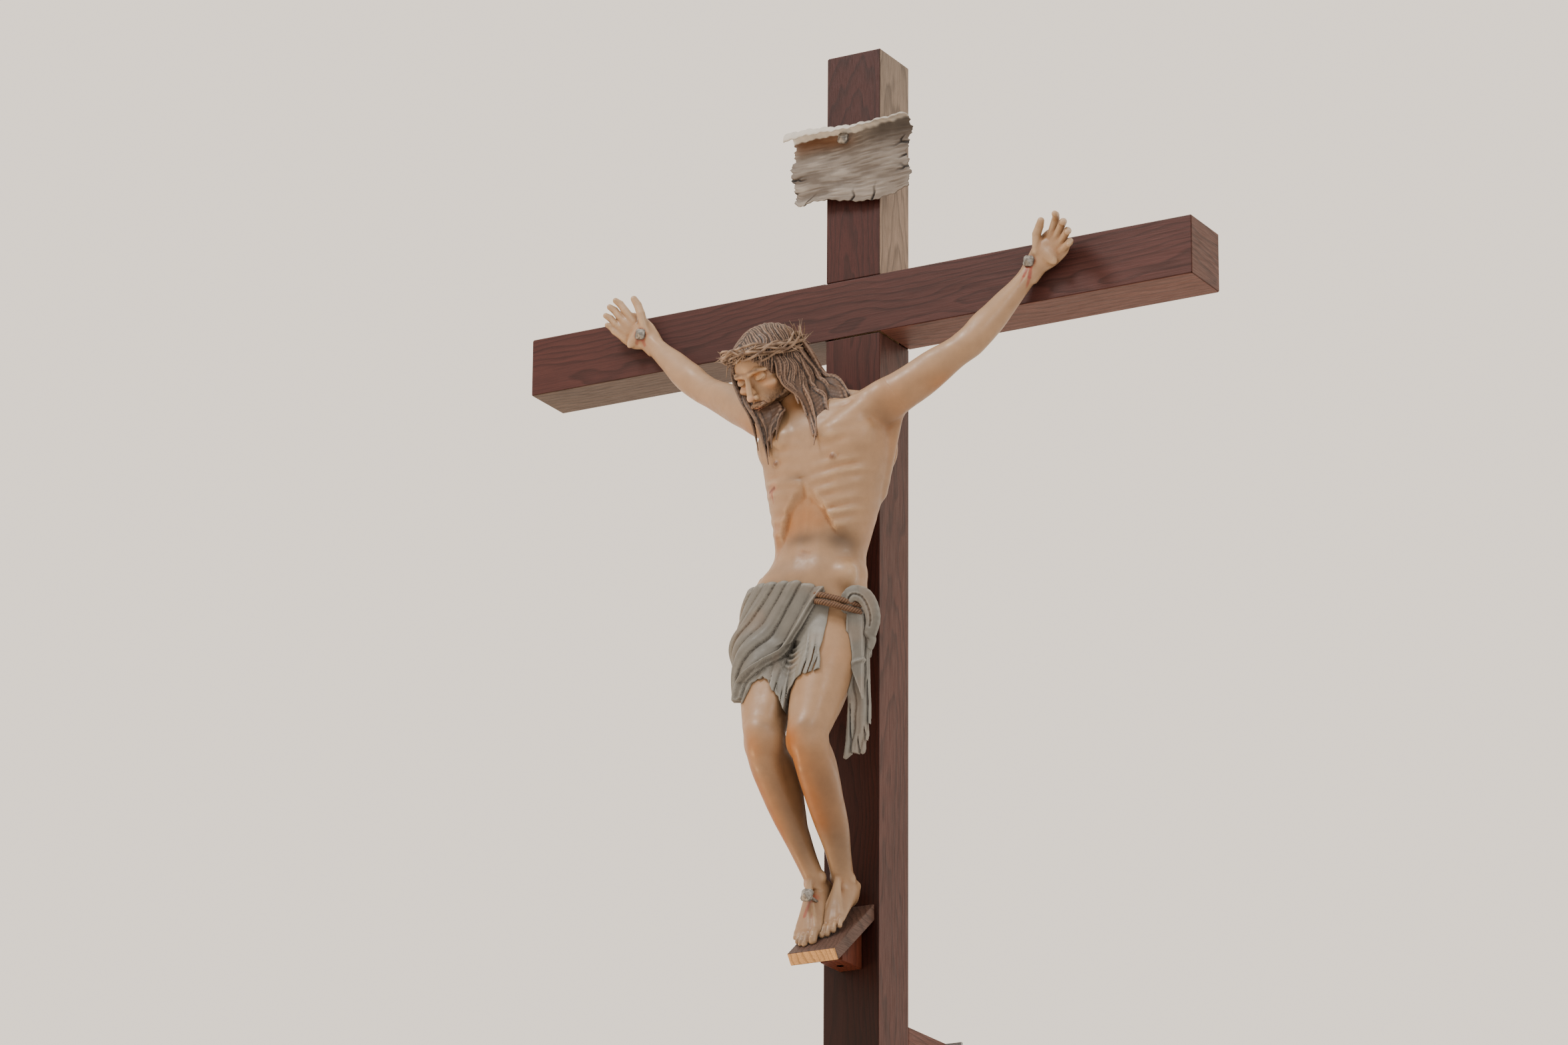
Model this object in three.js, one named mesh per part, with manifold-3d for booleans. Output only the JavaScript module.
// Altar cross: a boxed oak cross with a carved, painted wooden corpus, hung on a wall.
//
// Millimetres, +Z up, the cross faces -Y. The origin is the centre of the upper wall plate's back
// face, so the wall is the plane Y = 0. Inside the nested group `cross` the model uses handier
// coordinates: X = 0 is the post's centre line, Y = 0 the post's front face and Z = 0 the beam's
// underside. "Left" and "right" of the corpus are its own; those of the cross are the viewer's.

import * as THREE from 'three';
import { mergeVertices } from 'three/addons/utils/BufferGeometryUtils.js';
import { ConvexGeometry } from 'three/addons/geometries/ConvexGeometry.js';
import Module from 'manifold-3d';

const wasm = await Module();
wasm.setup();

// ---------------------------------------------------------------- driving dimensions

const SECTION = 150; // the post, the beam and the rear arm are all 150 x 150
const HALF = SECTION / 2;
const BOARD = 18; // thickness of the mitred oak facing boards
const SEAM = 0.2; // each board stops this far short of its mitre line
const GAP = 0.3; // clearance between pieces that touch
const POST_TOP = 750;
const POST_BOTTOM = -1862;
const BEAM_HALF_LENGTH = 922;
const BEAM_PROUD = 2.5; // the beam's front stands this far in front of the post's
const WALL_DISTANCE = 350; // from the post's front face to the wall
const PLATE = 8; // steel plate thickness
const ARM_TOP = POST_BOTTOM + SECTION; // the rear arm runs back from the foot of the post
const ARM_MIDDLE = POST_BOTTOM + HALF;
const TIE_HEIGHT = 115; // the upper wall tie sits behind the crossing
const CORE = HALF - BOARD - GAP; // half width of the softwood cores
const PLATE_FRONT = WALL_DISTANCE - PLATE;
const TENON = 40; // half width of the arm's square tenon
const TENON_END = 110;

// The corpus hangs from these points, each [x, y, z].
const SHOULDER_RIGHT = [-150, -160, -240];
const SHOULDER_LEFT = [168, -160, -258];
const ELBOW_RIGHT = [-387, -72, -91];
const ELBOW_LEFT = [387, -112, -116];
const WRIST_RIGHT = [-560, -26, 74];
const WRIST_LEFT = [511, -26, 76];
const HIP_RIGHT = [-122, -142, -790];
const HIP_LEFT = [34, -142, -790];
const KNEE_RIGHT = [-82, -280, -1090];
const KNEE_LEFT = [32, -278, -1104];
const ANKLE_RIGHT = [-45, -98, -1395];
const ANKLE_LEFT = [12, -64, -1389];
const HEAD_CENTRE = [-106, -224, -128];
const HEAD_BOW = 0.62; // radians, the head is bowed forward
const HEAD_TURN = -0.3; // radians, the face is turned to the corpus's right
const PELVIS_SEAM = -800; // the trunk block ends here, hidden by the loincloth
const FOOTREST_TOP = -1444; // the board's top edge where it meets the post
const FOOTREST_REACH = 197;
const FOOTREST_DROP = 152;
const FOOTREST_THICK = 32;
const FOOTREST_WIDTH = 128;
const BRACKET_WIDTH = 60;
const BRACKET_REACH = 97;
const BRACKET_BOTTOM = -1600;

// ---------------------------------------------------------------- solids and booleans

const cross = new THREE.Group();
cross.position.set(0, -WALL_DISTANCE, -TIE_HEIGHT);

// Turn a closed three.js geometry into a solid, whichever way its faces point.
function solid(geometry) {
  geometry.deleteAttribute('normal');
  geometry.deleteAttribute('uv');
  const merged = mergeVertices(geometry, 1e-4);
  const position = merged.getAttribute('position');
  const triangles = [];
  let volume = 0;
  const corner = [0, 1, 2].map(() => new THREE.Vector3());
  for (let k = 0; k < merged.index.count; k += 3) {
    const [a, b, c] = [0, 1, 2].map((j) => merged.index.getX(k + j));
    if (a === b || b === c || c === a) continue;
    triangles.push([a, b, c]);
    [a, b, c].forEach((vertex, j) => corner[j].fromBufferAttribute(position, vertex));
    volume += corner[0].dot(corner[1].clone().cross(corner[2]));
  }
  const wound = volume < 0 ? triangles.map(([a, b, c]) => [a, c, b]) : triangles;
  return new wasm.Manifold(new wasm.Mesh({
    numProp: 3,
    vertProperties: new Float32Array(position.array),
    triVerts: new Uint32Array(wound.flat()),
  }));
}

function add(name, shape, material) {
  const mesh = shape.getMesh();
  const geometry = new THREE.BufferGeometry();
  geometry.setAttribute('position', new THREE.BufferAttribute(mesh.vertProperties, 3));
  geometry.setIndex(new THREE.BufferAttribute(mesh.triVerts, 1));
  geometry.computeVertexNormals();
  const node = new THREE.Mesh(geometry, material);
  node.name = name;
  cross.add(node);
}

function box(low, high) {
  const size = high.map((value, k) => value - low[k]);
  const geometry = new THREE.BoxGeometry(...size);
  return solid(geometry.translate(...low.map((value, k) => value + size[k] / 2)));
}

function join(...shapes) {
  return shapes.reduce((whole, shape) => whole.add(shape));
}

function cut(shape, ...tools) {
  return tools.reduce((rest, tool) => rest.subtract(tool), shape);
}

// Everything on the far side of the plane through `point` with this normal.
function beyond(point, normal) {
  const reach = 3000;
  const turn = new THREE.Quaternion().setFromUnitVectors(new THREE.Vector3(0, 0, 1), normal);
  const geometry = new THREE.BoxGeometry(reach, reach, reach).translate(0, 0, reach / 2);
  return solid(geometry.applyQuaternion(turn).translate(...point));
}

// A turned or square-shanked fastener: profile of [radius, distance] pairs along `direction`.
function turned(profile, origin, direction, sides = 12) {
  const points = profile.map(([radius, distance]) => new THREE.Vector2(radius, distance));
  const turn = new THREE.Quaternion().setFromUnitVectors(
    new THREE.Vector3(0, 1, 0), new THREE.Vector3(...direction).normalize());
  const geometry = new THREE.LatheGeometry(points, sides);
  return solid(geometry.applyQuaternion(turn).translate(...origin));
}

function rod(radius, from, to, sides = 12) {
  const direction = to.map((value, k) => value - from[k]);
  const length = Math.hypot(...direction);
  return turned([[0, 0], [radius, 0], [radius, length], [0, length]], from, direction, sides);
}

function bolt(radius, headRadius, headLength, from, to) {
  const direction = to.map((value, k) => value - from[k]);
  const length = Math.hypot(...direction);
  const profile = [[0, 0], [headRadius, 0], [headRadius, headLength], [radius, headLength],
    [radius, length], [0, length]];
  return turned(profile, from, direction);
}

// A closed loft through elliptical stations [x, y, z, half width, half depth]. Depth is measured
// towards `front`; `grow` swells it, for the clearance a neighbour needs.
function loft(stations, { sides = 16, front = [0, -1, 0], grow = 0 } = {}) {
  const centres = stations.map(([x, y, z]) => new THREE.Vector3(x, y, z));
  const last = centres.length - 1;
  const positions = [];
  centres.forEach((centre, k) => {
    const after = centres[Math.min(k + 1, last)];
    const before = centres[Math.max(k - 1, 0)];
    const along = after.clone().sub(before).normalize();
    const depth = new THREE.Vector3(...front);
    depth.addScaledVector(along, -depth.dot(along)).normalize();
    const width = along.clone().cross(depth);
    const slide = (k === last ? grow : 0) - (k === 0 ? grow : 0);
    for (let side = 0; side < sides; side += 1) {
      const angle = side / sides * Math.PI * 2;
      const point = centre.clone().addScaledVector(along, slide);
      point.addScaledVector(width, Math.cos(angle) * (stations[k][3] + grow));
      point.addScaledVector(depth, Math.sin(angle) * (stations[k][4] + grow));
      positions.push(...point.toArray());
    }
  });
  const index = [];
  for (let k = 0; k < last; k += 1) {
    for (let side = 0; side < sides; side += 1) {
      const [a, b] = [k * sides + side, k * sides + (side + 1) % sides];
      index.push(a, b, b + sides, a, b + sides, a + sides);
    }
  }
  for (let side = 1; side < sides - 1; side += 1) {
    const end = last * sides;
    index.push(0, side + 1, side, end, end + side, end + side + 1);
  }
  const geometry = new THREE.BufferGeometry();
  geometry.setAttribute('position', new THREE.Float32BufferAttribute(positions, 3));
  geometry.setIndex(index);
  return solid(geometry);
}

function ellipsoid(centre, radii, { bow = 0, turn = 0, lean = 0, grow = 0 } = {}) {
  const geometry = new THREE.SphereGeometry(1, 16, 10);
  geometry.scale(...radii.map((radius) => radius + grow));
  geometry.rotateY(lean).rotateX(bow).rotateZ(turn);
  return solid(geometry.translate(...centre));
}

// ---------------------------------------------------------------- materials

function material(color, roughness, metalness = 0) {
  return new THREE.MeshStandardMaterial({ color, roughness, metalness });
}

const stainedOak = material(0x5c3a36, 0.5);
const softwood = material(0xc8a26c, 0.8);
const flesh = material(0xc8aa8c, 0.4);
const hairPaint = material(0x6e5546, 0.6);
const clothPaint = material(0x87827a, 0.7);
const ropePaint = material(0x825a41, 0.7);
const twig = material(0xaa8c69, 0.8);
const nailIron = material(0xaaaaa5, 0.5, 0.6);
const scrollPaint = material(0x968778, 0.8);
const footrestOak = material(0x5f4b44, 0.6);
const steel = material(0x8c8c8c, 0.4, 0.9);
const dowelBeech = material(0xd0ac7c, 0.8);

// ---------------------------------------------------------------- fixings shared by several pieces

const CROSSING_BOLTS = { crossing_bolt_left: -30, crossing_bolt_right: 30 };
const crossingBolt = (x, grow = 0) =>
  bolt(6 + grow, 14 + grow, 8 + grow, [x, 24 - grow, 50], [x, 126 + grow, 50]);
const ARM_BOLTS = { arm_bolt_left: -28, arm_bolt_right: 28 };
const armBolt = (x, grow = 0) =>
  bolt(6 + grow, 14 + grow, 8 + grow, [x, 24 - grow, ARM_MIDDLE], [x, 245 + grow, ARM_MIDDLE]);
const TIE_SCREWS = { tie_screw_left: -35, tie_screw_right: 35 };
const tieScrew = (x, grow = 0) =>
  bolt(4 + grow, 9 + grow, 4, [x, 162.5, TIE_HEIGHT], [x, 96 - grow, TIE_HEIGHT]);
const BRACKET_RODS = { bracket_rod_left: -17, bracket_rod_right: 17 };
const bracketRod = (x, grow = 0) => rod(5 + grow, [x, -70 - grow, -1578], [x, 70 + grow, -1578]);
const hangerRod = (grow = 0) => rod(8 + grow, [10, -110 - grow, -360], [10, 100 + grow, -360]);
const ARM_PINS = { arm_pin_upper: ARM_MIDDLE + 26, arm_pin_lower: ARM_MIDDLE - 26 };
const armPin = (z, grow = 0) => rod(5 + grow, [-50 - grow, 290, z], [50 + grow, 290, z]);

// A forged nail: a square shank and a low faceted pyramid for a head.
function nail(tip, direction, { head = 19, shank = 4.5, length = 100, grow = 0 } = {}) {
  const profile = [[0, -grow], [head * 0.3 + grow, -grow], [head + grow, 11], [head + grow, 17 + grow],
    [shank + grow, 17 + grow], [shank * 0.7 + grow, length + grow], [0, length + grow]];
  return turned(profile, tip, direction, 4);
}

const nailRight = (grow) => nail([-576, -63, 90], [0, 1, 0], { grow });
const nailLeft = (grow) => nail([510, -63, 88], [0, 1, 0], { grow });
const nailFeet = (grow) => nail([-30, -176, -1448], [0.1, 1, -0.16], { grow, length: 110 });
const nailScroll = (grow) => nail([-11, -46, 513], [0, 1, 0], { grow, head: 15, length: 84 });

// ---------------------------------------------------------------- the boxed cross

const joinery = {
  boltsCrossing: Object.values(CROSSING_BOLTS).map((x) => crossingBolt(x, GAP)),
  boltsArm: Object.values(ARM_BOLTS).map((x) => armBolt(x, GAP)),
  screwsTie: Object.values(TIE_SCREWS).map((x) => tieScrew(x, GAP)),
  rodsBracket: Object.values(BRACKET_RODS).map((x) => bracketRod(x, GAP)),
};

function postCore() {
  const block = box([-CORE, BOARD + GAP, POST_BOTTOM + BOARD + GAP],
    [CORE, SECTION - BOARD - GAP, POST_TOP - BOARD - GAP]);
  const lap = box([-HALF, 0, BOARD], [HALF, HALF + GAP / 2, SECTION - BOARD]);
  const mortise = box([-TENON - GAP, TENON_END - GAP, ARM_MIDDLE - TENON - GAP],
    [TENON + GAP, SECTION, ARM_MIDDLE + TENON + GAP]);
  return cut(block, lap, mortise, ...joinery.boltsCrossing, ...joinery.boltsArm,
    ...joinery.screwsTie, ...joinery.rodsBracket, hangerRod(GAP), nailScroll(GAP));
}

function beamCore() {
  const end = BEAM_HALF_LENGTH - BOARD - GAP;
  const block = box([-end, BOARD - BEAM_PROUD + GAP, BOARD + GAP],
    [end, SECTION - BOARD - GAP, SECTION - BOARD - GAP]);
  const lap = box([-CORE - GAP, HALF - GAP / 2, 0], [CORE + GAP, SECTION, SECTION]);
  return cut(block, lap, ...joinery.boltsCrossing, nailRight(GAP), nailLeft(GAP));
}

// A facing board: its outer face lies in the plane `at` on axis `normal`, and spans two ranges on
// the other axes. Mitred edges slope in at 45 degrees towards the core.
function facing(normal, outward, at, spans, mitres) {
  const others = [0, 1, 2].filter((axis) => axis !== normal);
  const points = [];
  for (const deep of [0, BOARD]) {
    for (const first of [0, 1]) {
      for (const second of [0, 1]) {
        const point = [0, 0, 0];
        point[normal] = at - outward * deep;
        [first, second].forEach((end, k) => {
          const inset = SEAM + (mitres[k][end] ? deep : 0);
          point[others[k]] = spans[k][end] + (end ? -inset : inset);
        });
        points.push(new THREE.Vector3(...point));
      }
    }
  }
  return solid(new ConvexGeometry(points));
}

const [X, Y, Z] = [0, 1, 2];
const BOTH = [true, true];
const NONE = [false, false];
const LOW = [true, false];
const HIGH = [false, true];

function postFacings() {
  const across = [-HALF, HALF];
  const deep = [0, SECTION];
  const lower = [POST_BOTTOM, 0];
  const upper = [SECTION, POST_TOP];
  const tenonHole = box([-TENON - GAP, TENON_END, ARM_MIDDLE - TENON - GAP],
    [TENON + GAP, SECTION + BOARD, ARM_MIDDLE + TENON + GAP]);
  const boards = {
    post_front_lower: cut(facing(Y, -1, 0, [across, lower], [BOTH, LOW]),
      hangerRod(GAP), ...joinery.rodsBracket),
    post_front_upper: cut(facing(Y, -1, 0, [across, upper], [BOTH, HIGH]), nailScroll(GAP)),
    post_left_lower: facing(X, -1, -HALF, [deep, lower], [BOTH, LOW]),
    post_left_upper: facing(X, -1, -HALF, [deep, upper], [BOTH, HIGH]),
    post_right_lower: facing(X, 1, HALF, [deep, lower], [BOTH, LOW]),
    post_right_upper: facing(X, 1, HALF, [deep, upper], [BOTH, HIGH]),
    post_back: cut(facing(Y, 1, SECTION, [across, [POST_BOTTOM, POST_TOP]], [BOTH, BOTH]),
      tenonHole, ...joinery.screwsTie, ...joinery.boltsArm),
    post_top_cap: facing(Z, 1, POST_TOP, [across, deep], [BOTH, BOTH]),
    post_bottom_cap: facing(Z, -1, POST_BOTTOM, [across, deep], [BOTH, BOTH]),
  };
  for (const [name, board] of Object.entries(boards)) add(name, board, stainedOak);
}

function beamFacings() {
  const deep = [-BEAM_PROUD, SECTION];
  const tall = [0, SECTION];
  const whole = [-BEAM_HALF_LENGTH, BEAM_HALF_LENGTH];
  add('beam_front', cut(facing(Y, -1, -BEAM_PROUD, [whole, tall], [BOTH, BOTH]),
    nailRight(GAP), nailLeft(GAP)), stainedOak);
  for (const [side, span, mitre, end] of [
    ['left', [-BEAM_HALF_LENGTH, -HALF], LOW, -1],
    ['right', [HALF, BEAM_HALF_LENGTH], HIGH, 1],
  ]) {
    add(`beam_top_${side}`, facing(Z, 1, SECTION, [span, deep], [mitre, BOTH]), stainedOak);
    add(`beam_bottom_${side}`, facing(Z, -1, 0, [span, deep], [mitre, BOTH]), stainedOak);
    add(`beam_back_${side}`, facing(Y, 1, SECTION, [span, tall], [mitre, BOTH]), stainedOak);
    add(`beam_end_${side}`, facing(X, end, end * BEAM_HALF_LENGTH, [deep, tall], [BOTH, BOTH]), stainedOak);
  }
}

function rearArm() {
  const reach = [SECTION, PLATE_FRONT];
  const across = [-HALF, HALF];
  const tall = [POST_BOTTOM, ARM_TOP];
  add('arm_top', facing(Z, 1, ARM_TOP, [across, reach], [BOTH, NONE]), stainedOak);
  add('arm_bottom', facing(Z, -1, POST_BOTTOM, [across, reach], [BOTH, NONE]), stainedOak);
  add('arm_left', facing(X, -1, -HALF, [reach, tall], [NONE, BOTH]), stainedOak);
  add('arm_right', facing(X, 1, HALF, [reach, tall], [NONE, BOTH]), stainedOak);
  const block = box([-CORE, SECTION + GAP, ARM_MIDDLE - CORE], [CORE, PLATE_FRONT - GAP, ARM_MIDDLE + CORE]);
  const tenon = box([-TENON, TENON_END, ARM_MIDDLE - TENON], [TENON, SECTION + 1, ARM_MIDDLE + TENON]);
  const slot = box([-4 - GAP, 240 - GAP, ARM_MIDDLE - 45 - GAP], [4 + GAP, 400, ARM_MIDDLE + 45 + GAP]);
  const pins = Object.values(ARM_PINS).map((z) => armPin(z, GAP));
  add('arm_core', cut(join(block, tenon), slot, ...joinery.boltsArm, ...pins), softwood);
}

function wallFixings() {
  const screwHoles = [-95, 95].flatMap((x) => [-50, 50].map((z) =>
    rod(6, [x, 300, ARM_MIDDLE + z], [x, 400, ARM_MIDDLE + z])));
  const plate = box([-115, PLATE_FRONT, POST_BOTTOM], [115, WALL_DISTANCE, ARM_TOP]);
  const fin = box([-4, 240, ARM_MIDDLE - 45], [4, PLATE_FRONT + 1, ARM_MIDDLE + 45]);
  const pins = Object.values(ARM_PINS).map((z) => armPin(z, GAP));
  add('wall_bracket_lower', cut(join(plate, fin), ...screwHoles, ...pins), steel);
  for (const [name, z] of Object.entries(ARM_PINS)) add(name, armPin(z), steel);
  for (const [name, x] of Object.entries(ARM_BOLTS)) add(name, armBolt(x), steel);
  for (const [name, x] of Object.entries(CROSSING_BOLTS)) add(name, crossingBolt(x), steel);

  const tiePlate = box([-60, PLATE_FRONT, TIE_HEIGHT - 30], [60, WALL_DISTANCE, TIE_HEIGHT + 30]);
  const tieBar = box([-15, SECTION + PLATE, TIE_HEIGHT - 15], [15, PLATE_FRONT + 1, TIE_HEIGHT + 15]);
  const tieFoot = box([-50, SECTION + GAP, TIE_HEIGHT - 25], [50, SECTION + PLATE + GAP, TIE_HEIGHT + 25]);
  const tieHoles = [-45, 45].map((x) => rod(5.5, [x, 300, TIE_HEIGHT], [x, 400, TIE_HEIGHT]));
  const shankHoles = Object.values(TIE_SCREWS).map((x) =>
    rod(4 + GAP, [x, 140, TIE_HEIGHT], [x, 200, TIE_HEIGHT]));
  add('wall_tie_upper', cut(join(tiePlate, tieBar, tieFoot), ...tieHoles, ...shankHoles), steel);
  for (const [name, x] of Object.entries(TIE_SCREWS)) {
    const head = SECTION + PLATE + 2 * GAP;
    add(name, bolt(4, 9, 4, [x, head + 4, TIE_HEIGHT], [x, 96, TIE_HEIGHT]), steel);
  }
}

// ---------------------------------------------------------------- footrest

function extrudeAcross(outline, width) {
  const shape = new THREE.Shape(outline.map(([y, z]) => new THREE.Vector2(y, z)));
  const geometry = new THREE.ExtrudeGeometry(shape, { depth: width, bevelEnabled: false });
  geometry.translate(0, 0, -width / 2);
  const turn = new THREE.Matrix4().makeBasis(
    new THREE.Vector3(0, 1, 0), new THREE.Vector3(0, 0, 1), new THREE.Vector3(1, 0, 0));
  return solid(geometry.applyMatrix4(turn));
}

function footrest() {
  const slope = Math.atan2(FOOTREST_DROP, FOOTREST_REACH);
  const noseTop = [-FOOTREST_REACH, FOOTREST_TOP - FOOTREST_DROP];
  const noseUnder = [noseTop[0] + FOOTREST_THICK * Math.sin(slope),
    noseTop[1] - FOOTREST_THICK * Math.cos(slope)];
  const underAt = (y) => noseUnder[1] + (y - noseUnder[0]) * Math.tan(slope);
  const screw = (grow) => bolt(4 + grow, 9 + grow, 5 + grow,
    [0, -52, BRACKET_BOTTOM - grow], [0, -52, underAt(-52) + 22 + grow]);
  const board = extrudeAcross(
    [[-GAP, FOOTREST_TOP], noseTop, noseUnder, [-GAP, underAt(-GAP)]], FOOTREST_WIDTH);
  const block = extrudeAcross([
    [-GAP, underAt(-GAP) - 2 * GAP], [-BRACKET_REACH, underAt(-BRACKET_REACH) - 2 * GAP],
    [-BRACKET_REACH, BRACKET_BOTTOM], [-GAP, BRACKET_BOTTOM],
  ], BRACKET_WIDTH);
  add('footrest_board', cut(board, screw(GAP)), footrestOak);
  add('footrest_bracket', cut(block, screw(GAP), ...joinery.rodsBracket), stainedOak);
  add('footrest_screw', screw(0), steel);
  for (const [name, x] of Object.entries(BRACKET_RODS)) add(name, bracketRod(x), steel);
}

// ---------------------------------------------------------------- titulus scroll

// A curled sheet: `place(u, v)` gives the front face, and the back lies `thick` behind it.
function sheet(place, columns, rows, thick) {
  const positions = [];
  for (const behind of [0, thick]) {
    for (let row = 0; row <= rows; row += 1) {
      for (let column = 0; column <= columns; column += 1) {
        const [x, y, z] = place(column / columns, row / rows);
        positions.push(x, y + behind, z);
      }
    }
  }
  const wide = columns + 1;
  const layer = wide * (rows + 1);
  const index = [];
  const quad = (a, b, c, d) => index.push(a, b, c, a, c, d);
  for (let row = 0; row < rows; row += 1) {
    for (let column = 0; column < columns; column += 1) {
      const a = row * wide + column;
      quad(a, a + 1, a + 1 + wide, a + wide);
      quad(layer + a, layer + a + wide, layer + a + 1 + wide, layer + a + 1);
    }
  }
  for (let column = 0; column < columns; column += 1) {
    const top = rows * wide + column;
    quad(column, layer + column, layer + column + 1, column + 1);
    quad(top, top + 1, layer + top + 1, layer + top);
  }
  for (let row = 0; row < rows; row += 1) {
    const left = row * wide;
    const right = left + columns;
    quad(left, left + wide, layer + left + wide, layer + left);
    quad(right, layer + right, layer + right + wide, right + wide);
  }
  const geometry = new THREE.BufferGeometry();
  geometry.setAttribute('position', new THREE.Float32BufferAttribute(positions, 3));
  geometry.setIndex(index);
  return solid(geometry);
}

function titulus() {
  const surface = (u, v) => {
    const x = -163 + 318 * u + 6 * Math.sin(9 * v);
    const low = 356 + 10 * Math.sin(7 * u) - 4 * u;
    const high = 528 + 12 * u + 7 * Math.sin(6 * u + 1);
    const curl = 20 * Math.max(0, v - 0.78) / 0.22 * (1 - 0.8 * u);
    const bow = 9 * Math.cos((u - 0.5) * Math.PI);
    return [x, -17 - curl - bow + 8 * (2 * u - 1) ** 2, low + (high - low) * v];
  };
  add('titulus_scroll', cut(sheet(surface, 16, 9, 9), nailScroll(GAP)), scrollPaint);
  add('titulus_nail', nailScroll(0), nailIron);
}

// ---------------------------------------------------------------- corpus, carved in blocks

const TRUNK = [
  [-30, -160, -215, 62, 50], [-12, -160, -238, 105, 62], [6, -158, -262, 150, 80],
  [12, -154, -300, 168, 98], [13, -150, -340, 172, 105], [11, -150, -400, 160, 104],
  [9, -150, -460, 146, 101], [5, -150, -530, 130, 96], [2, -152, -585, 116, 90],
  [-12, -152, -630, 116, 90], [-30, -150, -680, 134, 94], [-44, -146, -740, 152, 100],
  [-48, -144, -800, 156, 104], [-48, -146, -830, 150, 100],
];
const NECK = [
  [-12, -150, -290, 62, 56], [-38, -160, -245, 54, 52], [-70, -170, -195, 52, 54], [-92, -176, -158, 50, 54],
];
const ARM_RIGHT = [
  [-95, -166, -262, 66, 62], SHOULDER_RIGHT.concat(60, 56), [-205, -140, -205, 52, 50],
  [-270, -116, -165, 45, 45], [-335, -90, -124, 41, 40], ELBOW_RIGHT.concat(40, 38),
  [-430, -62, -52, 41, 38], [-480, -48, -4, 36, 32], [-528, -36, 42, 28, 23], WRIST_RIGHT.concat(25, 18),
];
const ARM_LEFT = [
  [112, -162, -282, 68, 64], SHOULDER_LEFT.concat(60, 56), [222, -152, -222, 52, 50],
  [282, -140, -185, 45, 45], [340, -124, -146, 41, 40], ELBOW_LEFT.concat(40, 38),
  [420, -95, -72, 41, 38], [452, -68, -20, 36, 32], [486, -42, 36, 28, 23], WRIST_LEFT.concat(25, 18),
];
const LEG_RIGHT = [
  [-122, -138, -740, 76, 84], HIP_RIGHT.concat(80, 88), [-112, -185, -880, 76, 80],
  [-103, -222, -960, 67, 70], [-92, -256, -1036, 55, 58], KNEE_RIGHT.concat(50, 54),
  [-84, -262, -1140, 46, 50], [-80, -222, -1195, 45, 52], [-72, -176, -1262, 41, 46],
  [-60, -132, -1332, 32, 36], ANKLE_RIGHT.concat(28, 34), [-44, -88, -1422, 28, 34],
];
const LEG_LEFT = [
  [34, -138, -740, 76, 84], HIP_LEFT.concat(80, 88), [42, -185, -880, 78, 80],
  [42, -222, -960, 68, 70], [38, -256, -1046, 56, 58], KNEE_LEFT.concat(52, 54),
  [38, -258, -1154, 48, 50], [36, -214, -1210, 46, 52], [30, -160, -1272, 42, 46],
  [20, -104, -1334, 32, 36], ANKLE_LEFT.concat(28, 34), [13, -54, -1416, 28, 32],
];
const FOOT_RIGHT = [
  [-44, -62, -1404, 24, 22], [-44, -80, -1428, 30, 30], [-40, -106, -1468, 32, 27],
  [-38, -132, -1510, 34, 19], [-36, -150, -1540, 36, 13], [-34, -163, -1562, 30, 9],
];
const FOOT_LEFT = [
  [16, -28, -1402, 24, 22], [14, -46, -1420, 30, 30], [12, -74, -1452, 33, 27],
  [10, -102, -1486, 37, 19], [6, -122, -1514, 40, 13], [4, -137, -1537, 32, 9],
];
const FOOT_FRONT = { front: [0, -1, 0.8] };
const HAND_RIGHT = [
  [-552, -27, 66, 24, 16], [-562, -27, 80, 30, 19], [-584, -31, 95, 42, 20],
  [-610, -34, 116, 43, 16], [-628, -38, 130, 38, 12],
];
const HAND_LEFT = [
  [504, -27, 66, 24, 16], [518, -27, 84, 32, 19], [546, -31, 106, 44, 21],
  [578, -36, 128, 45, 17], [596, -42, 141, 38, 12],
];
// Each finger: [root, knuckle, tip, radius].
const FINGERS_RIGHT = [
  [[-568, -38, 104], [-586, -48, 150], [-592, -58, 184], 10],
  [[-606, -38, 140], [-622, -46, 168], [-640, -56, 190], 8.5],
  [[-620, -38, 128], [-640, -46, 156], [-656, -56, 177], 8.5],
  [[-632, -38, 114], [-652, -46, 139], [-667, -56, 160], 8],
  [[-640, -36, 98], [-656, -44, 119], [-665, -54, 134], 7],
];
const FINGERS_LEFT = [
  [[530, -36, 118], [538, -50, 152], [550, -68, 178], 10],
  [[576, -40, 160], [606, -62, 176], [626, -98, 172], 8.5],
  [[592, -42, 148], [622, -60, 160], [638, -96, 154], 8.5],
  [[602, -42, 132], [632, -56, 140], [648, -92, 132], 8],
  [[604, -40, 114], [632, -50, 118], [648, -84, 108], 7],
];
const HAIR_RIGHT_SIDE = [
  [-168, -222, -92, 26, 50], [-184, -232, -150, 20, 36], [-138, -240, -232, 26, 32],
  [-96, -245, -292, 36, 28], [-88, -250, -340, 24, 18], [-83, -252, -383, 7, 8],
];
const HAIR_LEFT_SIDE = [
  [-78, -178, -58, 58, 66], [-46, -172, -125, 54, 62], [-4, -172, -172, 58, 56],
  [14, -180, -212, 60, 48], [10, -190, -250, 46, 36], [-4, -208, -292, 18, 18],
];

function hand(palm, fingers, grow = 0) {
  const rays = fingers.map(([root, knuckle, tip, radius]) => loft(
    [root.concat(radius, radius), knuckle.concat(radius, radius), tip.concat(radius * 0.8, radius * 0.8)],
    { sides: 8, grow }));
  return join(loft(palm, { sides: 12, grow }), ...rays);
}


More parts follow.
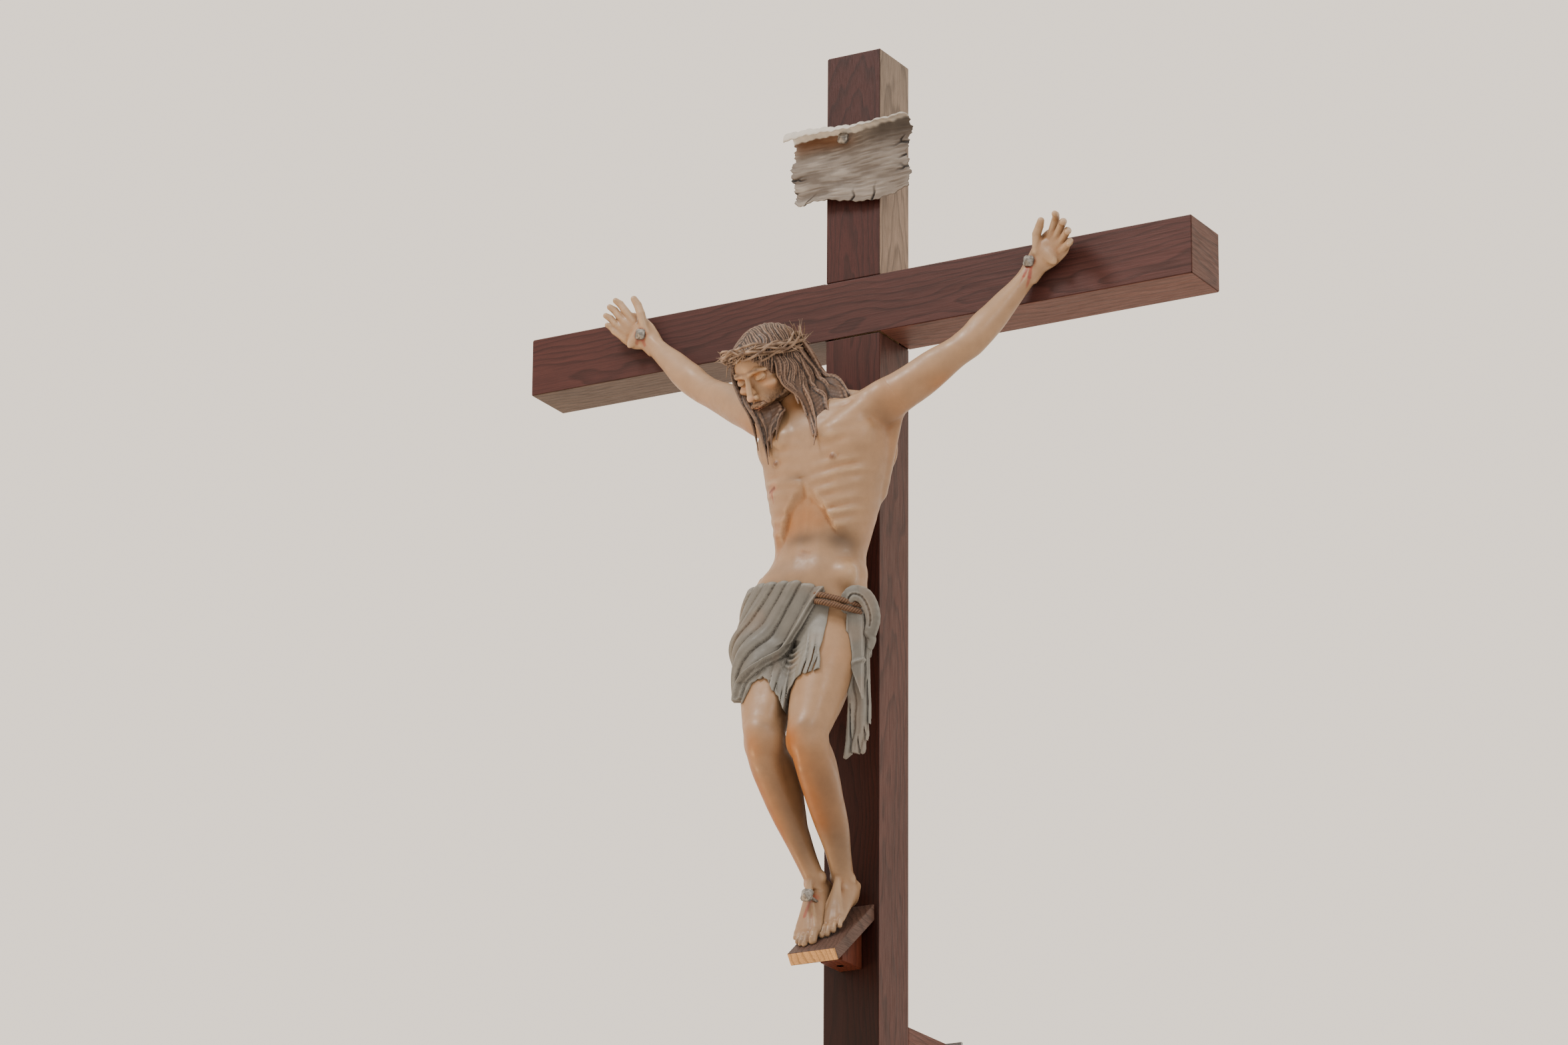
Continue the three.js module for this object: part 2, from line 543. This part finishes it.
const towards = (from, to) => new THREE.Vector3(...to).sub(new THREE.Vector3(...from)).normalize();
const step = (point, direction, distance) =>
  new THREE.Vector3(...point).addScaledVector(direction, distance).toArray();
const largest = (shape) => shape.decompose()
  .reduce((best, piece) => (piece.volume() > best.volume() ? piece : best));

const SIDES = {
  right: {
    arm: ARM_RIGHT, palm: HAND_RIGHT, fingers: FINGERS_RIGHT, nail: nailRight,
    shoulder: SHOULDER_RIGHT, shoulderWay: towards(SHOULDER_RIGHT, ELBOW_RIGHT),
    leg: LEG_RIGHT, foot: FOOT_RIGHT,
  },
  left: {
    arm: ARM_LEFT, palm: HAND_LEFT, fingers: FINGERS_LEFT, nail: nailLeft,
    shoulder: SHOULDER_LEFT, shoulderWay: towards(SHOULDER_LEFT, ELBOW_LEFT),
    leg: LEG_LEFT, foot: FOOT_LEFT,
  },
};
const SHOULDER_SEAM = 45; // the arm is dowelled on this far out from the shoulder joint
const shoulderSeam = ({ shoulder, shoulderWay }) => step(shoulder, shoulderWay, SHOULDER_SEAM);
const dowelAcross = (seam, way, half, grow) =>
  rod(12 + grow, step(seam, way, -half - grow), step(seam, way, half + grow));
const shoulderDowel = (side, grow = 0) => dowelAcross(shoulderSeam(side), side.shoulderWay, 40, grow);
const NECK_SEAM = [-64, -168, -205];
const NECK_WAY = towards(NECK[0], NECK[3]);
const neckDowel = (grow = 0) => dowelAcross(NECK_SEAM, NECK_WAY, 38, grow);
const POST_FACE = beyond([0, -GAP, 0], new THREE.Vector3(0, 1, 0));
const BEAM_FACE = beyond([0, -BEAM_PROUD - GAP, 0], new THREE.Vector3(0, 1, 0));
const FOOTREST_DOWN = new THREE.Vector3(0, FOOTREST_DROP, -FOOTREST_REACH).normalize();
const FOOTREST_FACE = beyond([0, -GAP, FOOTREST_TOP + GAP], FOOTREST_DOWN);
const DOWN = new THREE.Vector3(0, 0, -1);
const UP = new THREE.Vector3(0, 0, 1);
const trunk = (grow = 0) => loft(TRUNK, { sides: 18, grow });
const armLoft = (side, grow = 0) => loft(side.arm, { sides: 12, grow });
const legLoft = (side, grow = 0) => join(
  loft(side.leg, { sides: 14, grow }), loft(side.foot, { sides: 10, grow, ...FOOT_FRONT }));

function corpusArms() {
  for (const [name, side] of Object.entries(SIDES)) {
    const limb = join(armLoft(side), hand(side.palm, side.fingers));
    const face = beyond(step(shoulderSeam(side), side.shoulderWay, GAP), side.shoulderWay.clone().negate());
    add(`corpus_arm_${name}`, cut(limb, face, shoulderDowel(side, GAP), side.nail(GAP), BEAM_FACE), flesh);
    add(`shoulder_dowel_${name}`, shoulderDowel(side), dowelBeech);
    add(`hand_nail_${name}`, side.nail(0), nailIron);
  }
}

function corpusTorso() {
  const arms = Object.values(SIDES).map((side) =>
    cut(armLoft(side), beyond(shoulderSeam(side), side.shoulderWay)));
  const throat = cut(loft(NECK, { sides: 14 }), beyond(NECK_SEAM, NECK_WAY));
  const dowels = Object.values(SIDES).map((side) => shoulderDowel(side, GAP));
  add('corpus_torso', cut(join(trunk(), throat, ...arms), beyond([0, 0, PELVIS_SEAM], DOWN),
    neckDowel(GAP), ...dowels, hangerRod(GAP)), flesh);
  add('neck_dowel', neckDowel(), dowelBeech);
  add('corpus_hanger_rod', hangerRod(), steel);
}

// Place a point given in the head's own frame: x to its left, -y the way it faces, z to the crown.
const inHead = (x, y, z) => new THREE.Vector3(x, y, z)
  .applyAxisAngle(new THREE.Vector3(1, 0, 0), HEAD_BOW)
  .applyAxisAngle(new THREE.Vector3(0, 0, 1), HEAD_TURN)
  .add(new THREE.Vector3(...HEAD_CENTRE)).toArray();

function headParts() {
  const tilt = { bow: HEAD_BOW, turn: HEAD_TURN };
  const skull = ellipsoid(inHead(0, 10, 22), [82, 100, 88], tilt);
  const face = ellipsoid(inHead(0, -40, -38), [56, 50, 78], tilt);
  const nose = ellipsoid(inHead(0, -90, -30), [11, 12, 24], tilt);
  return [skull, face, nose, loft(HAIR_RIGHT_SIDE, { sides: 10 }), loft(HAIR_LEFT_SIDE, { sides: 12 })];
}

function corpusHead() {
  const seam = beyond(step(NECK_SEAM, NECK_WAY, GAP), NECK_WAY.clone().negate());
  const throat = cut(loft(NECK, { sides: 14 }), seam);
  const stub = cut(loft(NECK, { sides: 14, grow: GAP }), beyond(step(NECK_SEAM, NECK_WAY, GAP), NECK_WAY));
  const body = join(trunk(GAP), stub,
    ...Object.values(SIDES).map((side) => armLoft(side, GAP)));
  const carved = cut(join(...headParts(), throat), body, neckDowel(GAP), crownRing(GAP));
  add('corpus_head', largest(carved), hairPaint);
  add('crown_of_thorns', crownRing(0), twig);
}

// A thick woven ring round the brow, in the head's own frame, with thorns standing out of it.
const CROWN = { across: 92, along: 107, middle: 6, height: 34, thick: 10, tall: 13, steps: 30, sides: 6 };

function crownPoint(angle, outwards, upwards) {
  return new THREE.Vector3(...inHead((CROWN.across + outwards) * Math.sin(angle),
    CROWN.middle - (CROWN.along + outwards) * Math.cos(angle), CROWN.height + upwards));
}

function crownRing(grow) {
  const { steps, sides } = CROWN;
  const positions = [];
  const index = [];
  for (let k = 0; k < steps; k += 1) {
    const there = ((k + 1) % steps) * sides;
    for (let side = 0; side < sides; side += 1) {
      const turn = side / sides * Math.PI * 2;
      const point = crownPoint(k / steps * Math.PI * 2,
        Math.cos(turn) * (CROWN.thick + grow), Math.sin(turn) * (CROWN.tall + grow));
      positions.push(...point.toArray());
      const [here, next] = [k * sides, (side + 1) % sides];
      index.push(here + side, here + next, there + next, here + side, there + next, there + side);
    }
  }
  const geometry = new THREE.BufferGeometry();
  geometry.setAttribute('position', new THREE.Float32BufferAttribute(positions, 3));
  geometry.setIndex(index);
  const thorns = [];
  for (let k = 0; k < 10; k += 1) {
    const angle = (k + 0.4) / 10 * Math.PI * 2;
    const root = crownPoint(angle, 0, 0);
    const tip = crownPoint(angle + 0.15, 34, 24 * Math.sin(k * 2.3));
    thorns.push(turned([[0, 0], [4 + grow, 0], [0, root.distanceTo(tip) + grow]],
      root.toArray(), tip.sub(root).toArray(), 4));
  }
  return join(solid(geometry), ...thorns);
}

function corpusLegs() {
  const seam = beyond([0, 0, PELVIS_SEAM - GAP], UP);
  const right = cut(legLoft(SIDES.right), seam, nailFeet(GAP), POST_FACE, FOOTREST_FACE);
  const left = cut(legLoft(SIDES.left), seam, nailFeet(GAP), POST_FACE, FOOTREST_FACE,
    legLoft(SIDES.right, GAP));
  add('corpus_leg_right', largest(right), flesh);
  add('corpus_leg_left', largest(left), flesh);
  add('foot_nail', nailFeet(0), nailIron);
}

// ---------------------------------------------------------------- loincloth and cord

const CLOTH_OUTER = [
  [-30, -151, -698, 150, 110], [-36, -149, -724, 164, 118], [-44, -148, -764, 175, 125],
  [-47, -150, -812, 178, 131], [-46, -162, -864, 172, 135], [-46, -178, -914, 160, 134],
  [-50, -194, -958, 150, 126], [-50, -204, -1012, 140, 118],
];
// The hem across the front, as [x, z]: it drops to a point between the thighs.
const CLOTH_HEM = [
  [-300, -640], [-300, -958], [-165, -958], [-118, -925], [-82, -955], [-52, -1010], [-8, -956],
  [64, -940], [68, -640],
];

function extrudeBack(outline, near, far) {
  const shape = new THREE.Shape(outline.map(([x, z]) => new THREE.Vector2(x, z)));
  const geometry = new THREE.ExtrudeGeometry(shape, { depth: far - near, bevelEnabled: false });
  return solid(geometry.rotateX(Math.PI / 2).translate(0, far, 0));
}

const bodyUnderCloth = (grow) => join(trunk(grow), ...Object.values(SIDES).map((side) =>
  loft(side.leg, { sides: 14, grow })));

function loincloth() {
  const front = extrudeBack(CLOTH_HEM, -400, 0);
  const seat = box([-300, -168, -915], [300, 0, -600]);
  const wrap = loft(CLOTH_OUTER, { sides: 18 }).intersect(join(front, seat));
  const shell = cut(wrap, bodyUnderCloth(1), knotAndEnd(1), cord(1), POST_FACE);
  add('loincloth', largest(shell), clothPaint);
}

// The knot at the corpus's left hip and the end that hangs from it.
function knotAndEnd(grow = 0) {
  const end = loft([
    [124, -182, -758, 24, 24], [124, -185, -815, 30, 25], [122, -185, -885, 33, 24],
    [118, -184, -985, 35, 22], [112, -182, -1055, 34, 19], [104, -180, -1128, 26, 13],
  ], { sides: 12, grow });
  return join(ellipsoid([134, -186, -756], [30, 28, 27], { grow }), end);
}

function cordPath(offset) {
  const points = [[26, -256, -737], [54, -246, -748], [86, -226, -760], [112, -206, -770]];
  return new THREE.CatmullRomCurve3(points.map(([x, y, z]) => new THREE.Vector3(x, y, z + offset)));
}

function cord(grow = 0) {
  const strands = Object.values(CORD_STRANDS).map((offset) => cordStrand(offset, grow));
  return join(...strands);
}

const CORD_STRANDS = { waist_cord_upper: 9, waist_cord_lower: -9 };

function cordStrand(offset, grow = 0) {
  const section = new THREE.Shape();
  section.absarc(0, 0, 7 + grow, 0, Math.PI * 2);
  return solid(new THREE.ExtrudeGeometry(section, {
    steps: 12, curveSegments: 4, extrudePath: cordPath(offset), bevelEnabled: false,
  }));
}

function clothPieces() {
  const body = bodyUnderCloth(1);
  add('loincloth_hanging_end', largest(cut(knotAndEnd(), body, cord(1), POST_FACE)), clothPaint);
  for (const [name, offset] of Object.entries(CORD_STRANDS)) {
    add(name, largest(cut(cordStrand(offset), body)), ropePaint);
  }
}

postFacings();
beamFacings();
add('post_core', postCore(), softwood);
add('beam_core', beamCore(), softwood);
rearArm();
wallFixings();
footrest();
titulus();
corpusTorso();
corpusHead();
corpusArms();
corpusLegs();
loincloth();
clothPieces();

const altarCross = new THREE.Group();
altarCross.add(cross);
export default altarCross;
